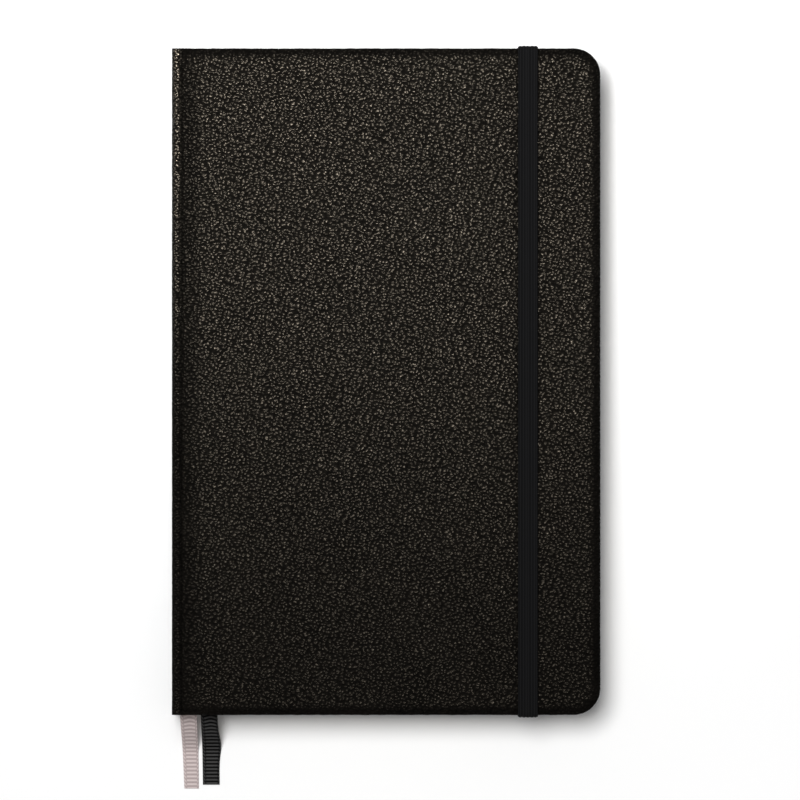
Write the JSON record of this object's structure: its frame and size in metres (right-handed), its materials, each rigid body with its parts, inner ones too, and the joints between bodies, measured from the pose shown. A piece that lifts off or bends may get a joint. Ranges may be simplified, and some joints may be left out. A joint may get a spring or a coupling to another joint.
{
  "type": "notebook",
  "caption": "Pocket-size hardback notebook with a pebbled black cover, an elastic closing band, sewn ruled leaves and two ribbon page markers hanging from the tail.",
  "frame": {"origin": "middle of the back cover's outer face, on which the book lies", "axes": "+Y points to the head of the book, +X to the fore-edge (the spine is at -X), +Z through the thickness from the back cover to the front cover"},
  "size_m": [0.09, 0.1568, 0.015],
  "materials": {
    "leather": "pebbled, satin",
    "board": "raw grey board",
    "endpaper": "uncoated",
    "page": "uncoated, ruled",
    "lining": "open-weave cloth",
    "thread": "waxed",
    "ribbon_light": "ribbed grosgrain",
    "ribbon_black": "ribbed grosgrain",
    "elastic": "corded, matt"
  },
  "bodies": {
    "case_back": {"back_skin": "leather", "back_board": "board", "back_pastedown": "endpaper", "rear_flyleaf": "endpaper", "elastic_anchor_top": "elastic", "elastic_anchor_bottom": "elastic"},
    "front_endleaf": {"front_flyleaf": "endpaper"},
    "front_cover": {"front_skin": "leather", "front_board": "board", "front_pastedown": "endpaper"},
    "spine": {"spine_skin": "leather", "spine_board": "board", "spine_lining": "lining", "sewing_thread_1": "thread", "sewing_thread_2": "thread", "sewing_thread_3": "thread", "sewing_thread_4": "thread", "sewing_thread_5": "thread"},
    "front_leaves_1": {"signature_01": "page"},
    "front_leaves_2": {"signature_02": "page"},
    "front_leaves_3": {"signature_03": "page"},
    "front_leaves_4": {"signature_04": "page"},
    "front_leaves_5": {"signature_05": "page"},
    "centre_front_leaves": {"centre_leaves_front": "page"},
    "rear_leaves_11": {"signature_11": "page"},
    "rear_leaves_10": {"signature_10": "page"},
    "rear_leaves_9": {"signature_09": "page"},
    "rear_leaves_8": {"signature_08": "page"},
    "rear_leaves_7": {"signature_07": "page"},
    "centre_rear_leaves": {"centre_leaves_rear": "page", "ribbon_light": "ribbon_light", "ribbon_black": "ribbon_black"},
    "elastic_loop": {"elastic_band": "elastic"}
  },
  "joints": [
    {"name": "book_open", "type": "hinge", "parent": "case_back", "child": "front_endleaf", "pos_m": [-0.05095, 0, 0.0072], "axis": [0, -1, 0], "range_deg": [0, 180]},
    {"name": "front_cover_open", "type": "hinge", "parent": "front_endleaf", "child": "front_cover", "pos_m": [-0.04295, 0, 0.01445], "axis": [0, -1, 0], "range_deg": [0, 180]},
    {"name": "spine_tip", "type": "hinge", "parent": "case_back", "child": "spine", "pos_m": [-0.04495, 0, 0.00005], "axis": [0, -1, 0], "range_deg": [0, 90]},
    {"name": "front_leaves_1_turn", "type": "hinge", "parent": "rear_leaves_11", "child": "front_leaves_1", "pos_m": [-0.05058, 0, 0.0072], "axis": [0, -1, 0], "range_deg": [0, 180]},
    {"name": "front_leaves_2_turn", "type": "hinge", "parent": "rear_leaves_10", "child": "front_leaves_2", "pos_m": [-0.04913, 0, 0.0072], "axis": [0, -1, 0], "range_deg": [0, 180]},
    {"name": "front_leaves_3_turn", "type": "hinge", "parent": "rear_leaves_9", "child": "front_leaves_3", "pos_m": [-0.04768, 0, 0.0072], "axis": [0, -1, 0], "range_deg": [0, 180]},
    {"name": "front_leaves_4_turn", "type": "hinge", "parent": "rear_leaves_8", "child": "front_leaves_4", "pos_m": [-0.04623, 0, 0.0072], "axis": [0, -1, 0], "range_deg": [0, 180]},
    {"name": "front_leaves_5_turn", "type": "hinge", "parent": "rear_leaves_7", "child": "front_leaves_5", "pos_m": [-0.04478, 0, 0.0072], "axis": [0, -1, 0], "range_deg": [0, 180]},
    {"name": "centre_leaves_turn", "type": "hinge", "parent": "centre_rear_leaves", "child": "centre_front_leaves", "pos_m": [-0.04333, 0, 0.0072], "axis": [0, -1, 0], "range_deg": [0, 180]},
    {"name": "rear_leaves_11_spread", "type": "slide", "parent": "case_back", "child": "rear_leaves_11", "axis": [-1, 0, 0], "range_m": [0, 0.000402]},
    {"name": "rear_leaves_10_spread", "type": "slide", "parent": "case_back", "child": "rear_leaves_10", "axis": [-1, 0, 0], "range_m": [0, 0.00184]},
    {"name": "rear_leaves_9_spread", "type": "slide", "parent": "case_back", "child": "rear_leaves_9", "axis": [-1, 0, 0], "range_m": [0, 0.00328]},
    {"name": "rear_leaves_8_spread", "type": "slide", "parent": "case_back", "child": "rear_leaves_8", "axis": [-1, 0, 0], "range_m": [0, 0.00472]},
    {"name": "rear_leaves_7_spread", "type": "slide", "parent": "case_back", "child": "rear_leaves_7", "axis": [-1, 0, 0], "range_m": [0, 0.00616]},
    {"name": "centre_rear_spread", "type": "slide", "parent": "case_back", "child": "centre_rear_leaves", "axis": [-1, 0, 0], "range_m": [0, 0.0076]},
    {"name": "elastic_release", "type": "hinge", "parent": "case_back", "child": "elastic_loop", "pos_m": [0.0302, 0, -0.0005], "axis": [0, 1, 0], "range_deg": [0, 180], "deforming": ["elastic_band"]}
  ],
  "couplings": [
    {"joint": "spine_tip", "follows": "book_open", "ratio": 0.5},
    {"joint": "front_leaves_1_turn", "follows": "book_open", "ratio": 1},
    {"joint": "front_leaves_2_turn", "follows": "book_open", "ratio": 1},
    {"joint": "front_leaves_3_turn", "follows": "book_open", "ratio": 1},
    {"joint": "front_leaves_4_turn", "follows": "book_open", "ratio": 1},
    {"joint": "front_leaves_5_turn", "follows": "book_open", "ratio": 1},
    {"joint": "centre_leaves_turn", "follows": "book_open", "ratio": 1},
    {"joint": "rear_leaves_11_spread", "follows": "book_open", "m_per_rad": 0.00012732},
    {"joint": "rear_leaves_10_spread", "follows": "book_open", "m_per_rad": 0.00058569},
    {"joint": "rear_leaves_9_spread", "follows": "book_open", "m_per_rad": 0.0010441},
    {"joint": "rear_leaves_8_spread", "follows": "book_open", "m_per_rad": 0.0015024},
    {"joint": "rear_leaves_7_spread", "follows": "book_open", "m_per_rad": 0.0019608},
    {"joint": "centre_rear_spread", "follows": "book_open", "m_per_rad": 0.0024192}
  ]
}
